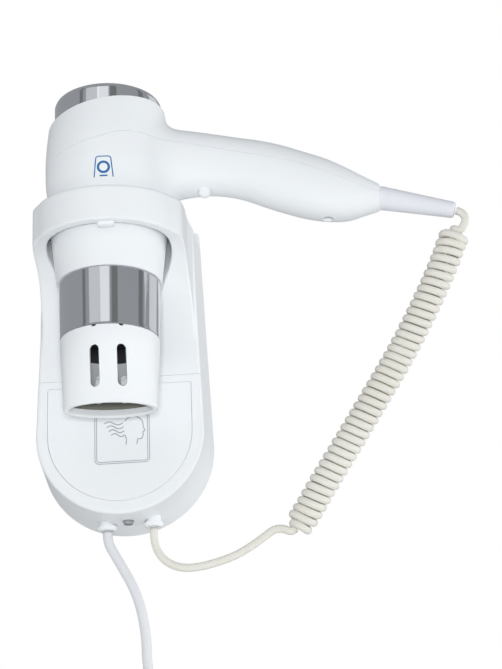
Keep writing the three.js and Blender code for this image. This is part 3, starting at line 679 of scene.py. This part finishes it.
def make_housing():
    """The two shells of the handset, open at both ends, with holes for the button and a screw."""
    low = (-43.0, BARREL_Y - 43, COLLAR_END - 4)
    high = (173.0, BARREL_Y + 43, 146.0)
    points, faces = surface_of(handset_field, low, high, 1.25)
    points, faces = cut_along(points, faces, above_rim, False)
    points, faces = cut_along(points, faces, lambda p: p[:, 2] - COLLAR_END, True)
    button = middle("push_button")
    well = middle("handle_screw")
    front = cut_along(points, faces, lambda p: above_seam(p) + SEAM_GAP / 2, False)
    front = cut_along(*front, outside_hole(button, 4.25), True)
    front = cut_along(*front, outside_hole(well, 3.3), True)
    rear = cut_along(points, faces, lambda p: above_seam(p) - SEAM_GAP / 2, True)
    front_piece = shell(piece_of("front_housing_skin", *front, "white_plastic"), SHELL)
    rear_piece = shell(piece_of("rear_cover_skin", *rear, "white_plastic"), SHELL)
    stand_for(front_piece, "handset", "white_plastic", "front_housing")
    stand_for(rear_piece, "handset", "white_plastic", "rear_cover")
    well_wall = lathe(
        "screw_well", [(3.3, 53.2), (3.3, 60.7), (1.8, 60.7), (1.8, 66), (4.8, 66), (4.8, 54.2)],
        "white_plastic", (well[0], BARREL_Y), 40)
    stand_for(soften(well_wall, 0.3), "handset", "white_plastic")


# ------------------------------------------------------------------ wall base covers
def base_field(x, y, z):
    """The base without its sloping top."""
    shrink = 1 - BASE["taper"] * -y / BASE_DEPTH
    u = np.abs(x / shrink)
    v = np.where(z > BASE["arc"], z, BASE["arc"] + (z - BASE["arc"]) / shrink)
    share = np.clip((v - BASE["arc"]) / (BASE["top"] - BASE["arc"]), 0, 1)
    half = BASE["half_low"] + (BASE["half_top"] - BASE["half_low"]) * share
    sides = np.where(v > BASE["arc"], u - half, np.hypot(u, v - BASE["arc"]) - BASE["half_low"])
    return rounded(sides, -y - BASE_DEPTH, BASE["edge"])


def bracket_field(x, y, z):
    """The ring and the block that carries it, without their sloping top."""
    cylinder = np.hypot(x, y - BARREL_Y) - RING["outer"]
    share = np.clip((y - RING["flank_front"]) / (1 - BASE_DEPTH - RING["flank_front"]), 0, 1)
    half = RING["flank"] + (RING["flank_root"] - RING["flank"]) * share
    block = rounded(np.abs(x) - half, RING["flank_front"] - y, RING["corner"])
    plan = smooth_min(cylinder, block, RING["valley"])
    front = RING["flank_front"]
    rim = RING["low"] + RING["low_slope"] * (np.minimum(y, front) - RING_FRONT)
    curve = RING["underside"] - np.hypot(y - front, np.maximum(z - rim + RING["underside"], 0))
    below = np.where(y > front, curve, rim - z)
    inside_base = np.maximum(y + BASE_DEPTH - 6, -20 - z)
    return np.maximum(rounded(plan, below, RING["edge"]), inside_base)


def covers_field(x, y, z):
    """Base and bracket, with their sloping top and the ring's bore."""
    slope = RING["top_slope"]
    fillet = RING["fillet"] * np.clip((z + 10) / 20, 0.01, 1)
    together = smooth_min(base_field(x, y, z), bracket_field(x, y, z), fillet)
    top = (z - RING["top"] - slope * (y - RING_FRONT)) / math.hypot(1, slope)
    bore = RING["bore"] - np.hypot(x, y - BARREL_Y)
    return rounded(rounded(together, top, BASE["corner"]), bore, RING["edge"])


def panel_level(p):
    """Below 0 inside the panel's outline."""
    u = np.abs(p[:, 0])
    v = p[:, 2]
    reach = BASE["half_low"] * (1 - BASE["taper"]) - PANEL["inset"]
    arc = (np.hypot(u / PANEL["half"], (v - BASE["arc"]) / reach) - 1) * reach
    sides = rounded(u - PANEL["half"], v - PANEL["top"], PANEL["corner"])
    level = np.where(v > BASE["arc"], sides, arc)
    return np.where(p[:, 1] < 1 - BASE_DEPTH, level, np.maximum(level, 1.0))


GLANDS = {name: middle(name)[:2] for name in ("mains_gland", "curly_gland")}
COVER_SCREW = middle("cover_screw")[:2]


def outside_bore(at, radius):
    """Above 0 outside a vertical hole through the bottom of the lower cover."""
    def value(p):
        away = np.hypot(p[:, 0] - at[0], p[:, 1] - at[1]) - radius
        return np.where(p[:, 2] < -100, away, np.maximum(away, 1.0))
    return value


def make_covers():
    """The two covers of the base and the panel set into the lower one."""
    low = (-59.0, RING_FRONT - 3, -123.0)
    high = (59.0, 4.0, 82.0)
    points, faces = surface_of(covers_field, low, high, 1.1)
    points, faces = cut_along(points, faces, lambda p: p[:, 1], False)
    upper = cut_along(points, faces, lambda p: p[:, 2] - BASE["seam"] - SEAM_GAP / 2, True)
    lower = cut_along(points, faces, lambda p: p[:, 2] - BASE["seam"] + SEAM_GAP / 2, False)
    for place in GLANDS.values():
        lower = cut_along(*lower, outside_bore(place, 5.0), True)
    lower = cut_along(*lower, outside_bore(COVER_SCREW, 3.6), True)
    panel = cut_along(*lower, lambda p: panel_level(p) + PANEL["gap"], False)
    lower = cut_along(*lower, lambda p: panel_level(p) - PANEL["gap"], True)
    panel = (panel[0] + np.array((0, PANEL["sunk"], 0)), panel[1])
    upper_piece = shell(piece_of("upper_cover_skin", *upper, "white_plastic"), BASE["shell"])
    lower_piece = shell(piece_of("lower_cover_skin", *lower, "white_plastic"), BASE["shell"])
    panel_piece = shell(piece_of("panel_skin", *panel, "white_plastic"), 1.0, 0.2)
    stand_for(upper_piece, "base", "white_plastic", "upper_cover")
    stand_for(lower_piece, "base", "white_plastic", "lower_cover")
    stand_for(panel_piece, "base", "white_plastic", "pictogram_panel")
    tab_at = (3.5, BARREL_Y - RING["bore"] - 0.6, RING["low"] - 0.4)
    stand_for(block_of("ring_tab", tab_at, (9.5, 4, 2.8), 0.4), "base", "white_plastic")


def make_glands():
    """Flanged collars with a hole a little wider than the cord."""
    for name, (x, y) in GLANDS.items():
        low, high = lowest(name)[2], highest(name)[2]
        profile = [
            (3.3, low + 0.4), (4.8, low), (5.7, low + 0.7), (6.2, low + 2), (6.2, low + 3),
            (4.7, low + 3), (4.7, high), (3.3, high),
        ]
        collar = lathe(name + "_collar", profile, "white_plastic", (x, y), 64)
        stand_for(soften(collar, 0.35), "base", "white_plastic", name)


# ------------------------------------------------------------------ nozzle
NOZZLE_TOP = highest("nozzle")[2]
NOZZLE_MOUTH = lowest("nozzle")[2]
NOZZLE_TURN = math.radians(5.0)
NOZZLE_WALL = 1.6
NOZZLE_LIP = 2.8
LIP_TOP = -60.0
SLOTS_X = 8.1
SLOT_HALF = 2.8
SLOT_SPAN = (-54.9, -32.5)
NOZZLE_SECTIONS = [  # height, half width, half depth
    (-66, 27.9, 13.6), (-57, 28.3, 16.2), (-50, 28.7, 19.4), (-42, 29.2, 24),
    (-34, 29.7, 28.4), (-27, 30.1, 30.1), (-19, 30.3, 30.3),
]
nozzle_wide = curve_through([(z, wide) for z, wide, _ in NOZZLE_SECTIONS])
nozzle_deep = curve_through([(z, deep) for z, _, deep in NOZZLE_SECTIONS])


def nozzle_openings(p):
    """Below 0 in the two slots of each side and in the notches of the top rim."""
    low, high = SLOT_SPAN
    from_line = np.abs(np.abs(p[:, 0]) - SLOTS_X)
    reach = np.maximum(np.abs(p[:, 2] - (low + high) / 2) - (high - low) / 2 + SLOT_HALF, 0)
    slot = np.hypot(from_line, reach) - SLOT_HALF
    notch = np.maximum(from_line - 1.3, NOZZLE_TOP - 1.0 - p[:, 2])
    level = np.minimum(slot, notch)
    return np.where(np.abs(p[:, 1]) > 5, level, np.maximum(level, 1.0))


def make_nozzle():
    """Round at the top and flat at the mouth, turned a little about its axis, with a thicker lip."""
    sides = 200
    heights = [*np.linspace(NOZZLE_TOP, LIP_TOP + 0.3, 80), *np.linspace(LIP_TOP, NOZZLE_MOUTH, 6)]
    angles = np.linspace(0, 2 * math.pi, sides, endpoint=False)
    points = [
        (nozzle_wide(z) * math.sin(t), -nozzle_deep(z) * math.cos(t), z)
        for z in heights for t in angles
    ]
    faces = ring_faces(len(heights), sides)
    points, faces = cut_along(np.array(points, float), faces, nozzle_openings, True)
    lip = points[:, 2] < LIP_TOP + 0.1
    c, s = math.cos(NOZZLE_TURN), math.sin(NOZZLE_TURN)
    points[:, :2] = points[:, :2] @ np.array([[c, -s], [s, c]]).T
    points[:, 1] += BARREL_Y
    piece = piece_of("nozzle_skin", points, faces, "white_plastic")
    group = piece.vertex_groups.new(name="wall")
    group.add(np.flatnonzero(lip).tolist(), 1.0, "REPLACE")
    group.add(np.flatnonzero(~lip).tolist(), NOZZLE_WALL / NOZZLE_LIP, "REPLACE")
    stand_for(shell(piece, NOZZLE_LIP, 0.3, 3, "wall"), "nozzle", "white_plastic", "nozzle")
    ring = lathe("clip_ring", [(27, -23.5), (28.3, -23.5), (28.3, -14), (27, -14)], "dark_plastic")
    stand_for(soften(ring, 0.2), "nozzle_carrier", "dark_plastic", "nozzle_clip_ring")


# ------------------------------------------------------------------ turned metal parts
def make_chrome():
    """The outlet tube and the inlet cap."""
    tube_profile = [(31.2, 29.7), (31.2, 17), (30.3, -20.2), (29.3, -20.2), (30.2, 29.7)]
    tube = lathe("outlet_tube_skin", refined(tube_profile), "chrome")
    stand_for(soften(tube, 0.35), "handset", "chrome", "outlet_tube")
    cap_profile = [
        (34, 121), (34, 139.6), (33.5, 140.8), (32.6, 141.4), (30.6, 141.4), (30, 140.9),
        (30, 139.9), (32.8, 138.4), (32.8, 121),
    ]
    cap = lathe("inlet_cap_skin", refined(cap_profile), "chrome")
    stand_for(soften(cap, 0.3), "handset", "chrome", "inlet_cap")


# ------------------------------------------------------------------ small pieces
SLEEVE_LENGTH = 44.5
SLEEVE_SLOPE = math.radians(14.5)


def make_sleeve():
    """The strain relief: it grows out of the handle's end and narrows to a rounded tip."""
    start = np.array((HANDLE_END[0] + 1.9, BARREL_Y, HANDLE_END[1] - 1.4))
    along = np.array((math.cos(SLEEVE_SLOPE), 0, -math.sin(SLEEVE_SLOPE)))
    profile = [(-4.0, 7.0), (-2.0, 7.35), (0.0, 7.3)]
    profile += [(at, 7.3 - 2.1 * at / 40) for at in np.linspace(4, 41.5, 16)]
    tip = 2.0
    profile += [
        (SLEEVE_LENGTH - tip + tip * math.sin(t), 3.15 + tip * math.cos(t))
        for t in np.linspace(0.15, 1.57, 7)
    ]
    path = [start + along * at for at, _ in profile]
    sleeve = tube_of("sleeve", path, [radius for _, radius in profile], "sleeve_plastic", 48)
    stand_for(finish_mesh(sleeve), "handset", "sleeve_plastic", "cord_sleeve")


def make_button():
    """A ball-ended push button."""
    x, y = middle("push_button")[:2]
    low, high = lowest("push_button")[2], highest("push_button")[2]
    radius = 4.1
    ball = [
        (radius * math.sin(t), low + radius - radius * math.cos(t))
        for t in np.linspace(0, math.pi / 2, 14)
    ]
    profile = [*ball, (radius, high - 4), (1.2, high - 4), (1.2, high), (0, high)]
    ball_end = finish_mesh(lathe("button_ball", profile, "white_plastic", (x, y), 48))
    stand_for(ball_end, "button", "white_plastic", "push_button")


# ------------------------------------------------------------------ mains lead
LEAD_RADIUS = 3.0
LEAD_COIL_RADIUS = 34.5
STRAND_RADIUS = 5.15
COIL_STRANDS = 5


def make_mains_lead():
    """Down from the gland, wound into a tied coil of five strands, then down into the plug."""
    centre = middle("mains_lead_coil")
    plug_top = highest("plug_body")[2]

    def on_coil(angle, strand):
        """A point of the coil, clockwise from its top, at an angle round the bundle's section."""
        radius = LEAD_COIL_RADIUS + STRAND_RADIUS * math.cos(strand)
        depth = STRAND_RADIUS * math.sin(strand)
        return centre + np.array((radius * math.sin(angle), depth, radius * math.cos(angle)))

    enter, leave = math.radians(30), math.radians(150 + 360 * (COIL_STRANDS - 1))
    wound = [
        on_coil(angle, math.pi + (angle - enter) / COIL_STRANDS)
        for angle in np.linspace(enter, leave, 16 * COIL_STRANDS)
    ]
    route = [*MAINS_ROUTE, (12, -17, -202), (14.4, -17.4, -217), (20.5, -17.6, -229)]
    outlet = wound[-1]
    tail = [
        outlet + np.array((-8.6, 0.2, -7.0)),
        (13.6, -16, plug_top + 10), (12, -16, plug_top + 2), (12, -16, plug_top - 4),
    ]
    path = spline_of([*route, *wound, *tail], 2.0)
    lead = tube_of("mains_cord", path, LEAD_RADIUS, "mains_lead", 20)
    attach(lead, "base")
    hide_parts("mains_lead", "mains_lead_coil", "mains_lead_end")
    [float(c) * MM for c in path[0]]


def make_plug():
    """A slim two-pole plug: round at the cord, flat and wide at the pins."""
    x, y, _ = middle("plug_body")
    top, low = highest("plug_body")[2], lowest("plug_body")[2]
    wide = curve_through([(0, 4.4), (6, 5.4), (12, 8.6), (18, 11.9), (24, 12.8), (34, 13.2)])
    deep = curve_through([(0, 4.4), (6, 5.2), (12, 6.6), (18, 7.3), (24, 7.5), (34, 7.6)])
    drops = [0, 0.4, 1.2, *np.linspace(2.5, 31.5, 24), 33, 33.6, top - low]
    shrink = [1.2, 0.6, 0.2, *[0] * 24, 0.25, 0.7, 1.4]
    sides, power = 64, 2.7
    points = []
    for drop, less in zip(drops, shrink):
        for t in np.linspace(0, 2 * math.pi, sides, endpoint=False):
            c, s = math.cos(t), math.sin(t)
            u = (wide(drop) - less) * math.copysign(abs(c) ** (2 / power), c)
            v = (deep(drop) - less) * math.copysign(abs(s) ** (2 / power), s)
            points.append((x + u, y + v, top - drop))
    faces = ring_faces(len(drops), sides)
    last = (len(drops) - 1) * sides
    faces.append(list(range(sides)))
    faces.append([last + k for k in range(sides)][::-1])
    plug = finish_mesh(piece_of("plug_shell", points, faces, "mains_lead"), 50)
    stand_for(plug, "base", "mains_lead", "plug_body")


# ------------------------------------------------------------------ printed marks
def strokes(name, lines, width, place, material):
    """Printed lines: flat strips along 2-D polylines, laid on a surface by place(u, v)."""
    points, faces = [], []
    for line in lines:
        line = resampled(line, 0.8)
        closed = np.allclose(line[0], line[-1])
        if closed:
            ahead = np.roll(line[:-1], -1, 0)
            behind = np.roll(line[:-1], 1, 0)
            line = line[:-1]
        else:
            ahead = np.vstack([line[1:], line[-1:]])
            behind = np.vstack([line[:1], line[:-1]])
        first, second = line - behind, ahead - line
        first = np.where(np.abs(first).sum(1)[:, None] > 0, first, second)
        second = np.where(np.abs(second).sum(1)[:, None] > 0, second, first)
        first /= np.linalg.norm(first, axis=1)[:, None]
        second /= np.linalg.norm(second, axis=1)[:, None]
        across = np.stack([-(first + second)[:, 1], (first + second)[:, 0]], 1)
        across /= np.linalg.norm(across, axis=1)[:, None]
        bend = np.maximum((across * np.stack([-second[:, 1], second[:, 0]], 1)).sum(1), 0.5)
        half = across * width / 2 / bend[:, None]
        start = len(points)
        for left, right in zip(line + half, line - half):
            points += [place(*left), place(*right)]
        count = len(line)
        for i in range(count if closed else count - 1):
            j = (i + 1) % count
            faces.append((start + 2 * i, start + 2 * i + 1, start + 2 * j + 1, start + 2 * j))
    return piece_of(name, points, faces, material, False)


def resampled(line, spacing):
    """The polyline with points added on its longer stretches."""
    dense = [line[0]]
    for a, b in zip(line, line[1:]):
        count = max(int(math.dist(a, b) / spacing), 1)
        dense += [between(a, b, i / count) for i in range(1, count + 1)]
    return np.array(dense, float)


def arc(centre, radius, start, end, steps=24):
    """Points on an arc, from one angle to another in degrees."""
    angles = np.radians(np.linspace(start, end, steps))
    return [(centre[0] + radius * math.cos(t), centre[1] + radius * math.sin(t)) for t in angles]


def frame_line(left, right, low, high, corner):
    """A closed rectangle with rounded corners."""
    line = arc((right - corner, high - corner), corner, 0, 90, 7)
    line += arc((left + corner, high - corner), corner, 90, 180, 7)
    line += arc((left + corner, low + corner), corner, 180, 270, 7)
    line += arc((right - corner, low + corner), corner, 270, 360, 7)
    return line + line[:1]


def make_pictogram():
    """A grey line drawing on the panel: a plain head from the side and moving air, in a frame."""
    def place(u, v):
        return (u, -BASE_DEPTH + 0.05, v)

    left, right, low, high = -15.4, 18.4, -84.4, -46.0
    frames = [
        frame_line(left, right, low, high, 2.6),
        frame_line(left + 1.1, right - 1.1, low + 1.1, high - 1.1, 1.9),
    ]
    head = [
        *arc((8.6, -60.6), 6.2, 150, 20, 16), (14.7, -61.4), (15.6, -64.2), (14.5, -65.0),
        (14.6, -67.4), (13.6, -69.2), (11.2, -69.4), (10.6, -72.6),
    ]
    air = []
    for row in range(4):
        drop = 2.6 * row
        air.append([
            (-9.5 + 1.4 * row + t * (11.5 - row), -58.4 - drop + 1.1 * math.sin(6.28 * t))
            for t in np.linspace(0, 1, 20)
        ])
    neck = [(3.4, -66.6), (4.2, -69.4), (3.9, -72.6)]
    outline = strokes("pictogram_frame", frames, 0.45, place, "print_grey")
    drawing = strokes("pictogram_lines", [head, neck, *air], 0.6, place, "print_grey")
    for piece in (outline, drawing):
        stand_for(piece, "base", "white_plastic")


def make_mark():
    """A small generic blue mark on the barrel: a ring over a short bar, in a rounded frame."""
    def place(u, v):
        radius = float(barrel_radius(v)) + 0.05
        angle = u / radius
        return (radius * math.sin(angle), BARREL_Y - radius * math.cos(angle), v)

    ring = arc((2.2, 79.2), 3.3, 0, 360, 40)
    surround = [
        (-3.6, 72.8), (-2.5, 84.0), *arc((-0.7, 84.4), 1.8, 160, 90, 6),
        *arc((5.1, 84.4), 1.8, 90, 20, 6), (6.9, 84.0), (8.0, 72.8),
    ]
    bar = [(-0.2, 73.6), (4.6, 73.6)]
    mark = [
        strokes("mark_ring", [ring], 1.5, place, "print_blue"),
        strokes("mark_frame", [surround], 0.7, place, "print_blue"),
        strokes("mark_bar", [bar], 1.0, place, "print_blue"),
    ]
    for piece in mark:
        stand_for(piece, "handset", "white_plastic")


# ------------------------------------------------------------------ the rest of the CAD
SLOTS = {entry["node"]: entry["material_slot"] for entry in frame["record"]["subparts"]}


def dress_cad():
    """Every CAD node that stays takes its slot's material, except the nozzle liner, which takes a
    dark grey that is painted shade.
    """
    for name, node in frame["nodes"].items():
        node.data.materials.clear()
        # The nozzle liner takes a dark grey of painted shade in place of its slot's mica.
        node.data.materials.append(MATERIALS["liner" if name == "nozzle_liner" else SLOTS[name]])
        node.data.shade_smooth()
        node.data.set_sharp_from_angle(angle=math.radians(35))


# ------------------------------------------------------------------ stage
def make_stage():
    """A plain pale floor below."""
    mesh = bpy.data.meshes.new("floor")
    corners = [(-4, -5), (4, -5), (4, 3), (-4, 3)]
    mesh.from_pydata([(x, y, -1.4) for x, y in corners], [], [(0, 1, 2, 3)])
    floor = bpy.data.objects.new("floor", mesh)
    mesh.materials.append(moulded("floor", (0.8, 0.8, 0.8), (0.78, 0.78, 0.78), 0.6))
    bpy.context.scene.collection.objects.link(floor)


def direction(azimuth, elevation):
    """Azimuth from straight ahead of the dryer towards its right, in degrees."""
    a, e = math.radians(azimuth), math.radians(elevation)
    return Vector((math.sin(a) * math.cos(e), -math.cos(a) * math.cos(e), math.sin(e)))


WATTS_PER_AREA = 2.2  # what a soft box of one square metre needs to look white


def light(name, azimuth, elevation, size, radiance, shows=False):
    """A soft box that faces the dryer. Its power follows from its area and how bright it looks."""
    aim, distance = Vector((0.04, -0.06, 0.02)), 2.2
    data = bpy.data.lights.new(name, "AREA")
    data.shape = "RECTANGLE"
    data.size, data.size_y = size
    data.energy = WATTS_PER_AREA * size[0] * size[1] * radiance
    lamp = bpy.data.objects.new(name, data)
    lamp.location = aim + distance * direction(azimuth, elevation)
    lamp.rotation_euler = (aim - lamp.location).to_track_quat("-Z", "Y").to_euler()
    lamp.visible_glossy = shows
    lamp.visible_camera = False
    bpy.context.scene.collection.objects.link(lamp)


def flag(name, azimuth, width):
    """A dark studio flag: a tall thin card that only the metal reflects."""
    mesh = bpy.data.meshes.new(name)
    centre, aside = direction(azimuth, 0) * 1.6, direction(azimuth + 90, 0) * width / 2
    low, high = Vector((0, 0, 0.1)), Vector((0, 0, 1.6))
    mesh.from_pydata(
        [centre - aside + low, centre + aside + low, centre + aside + high, centre - aside + high],
        [], [(0, 1, 2, 3)])
    mesh.materials.append(MATERIALS["flag"])
    card = bpy.data.objects.new(name, mesh)
    card.visible_camera = card.visible_diffuse = card.visible_shadow = False
    bpy.context.scene.collection.objects.link(card)


def make_lights():
    """A white backdrop that lights the scene dimly, soft boxes, and flags for the metal."""
    world = bpy.data.worlds.new("studio")
    world.use_nodes = True
    tree = world.node_tree
    backdrop = tree.nodes["Background"]
    backdrop.inputs["Color"].default_value = (1, 1, 1, 1)
    backdrop.inputs["Strength"].default_value = 1.0
    ambient = tree.nodes.new("ShaderNodeBackground")
    ambient.inputs["Color"].default_value = (0.93, 0.96, 1.0, 1)
    ambient.inputs["Strength"].default_value = 0.40
    seen = tree.nodes.new("ShaderNodeLightPath")
    mix = tree.nodes.new("ShaderNodeMixShader")
    tree.links.new(seen.outputs["Is Camera Ray"], mix.inputs["Fac"])
    tree.links.new(ambient.outputs["Background"], mix.inputs[1])
    tree.links.new(backdrop.outputs["Background"], mix.inputs[2])
    tree.links.new(mix.outputs["Shader"], tree.nodes["World Output"].inputs["Surface"])
    bpy.context.scene.world = world
    light("key", 6, -20, (0.35, 0.35), 97.0)
    light("strip_soft", -27, 26, (0.9, 1.2), 0.5, shows=True)
    light("strip", -4, 26, (0.76, 1.2), 0.9, shows=True)
    light("edge", 125, 26, (1.2, 1.2), 0.6, shows=True)
    light("right", 105, 0, (1.4, 1.8), 4.6)
    light("left", -120, 0, (1.4, 1.8), 1.8)
    light("below", -25, -70, (1.6, 1.2), 1.0)
    flag("flag_left", -49, 0.2)
    flag("flag_centre", 18, 0.36)
    flag("flag_right", 79, 0.34)
    bpy.context.scene.view_settings.view_transform = "Standard"
    bpy.context.scene.view_settings.look = "None"


# ------------------------------------------------------------------ build
make_camera()
MATERIALS = make_materials()
make_curly_cord()
dress_cad()
make_housing()
make_covers()
make_glands()
make_nozzle()
make_chrome()
make_sleeve()
make_button()
make_plug()
make_mains_lead()
make_pictogram()
make_mark()
make_stage()
make_lights()
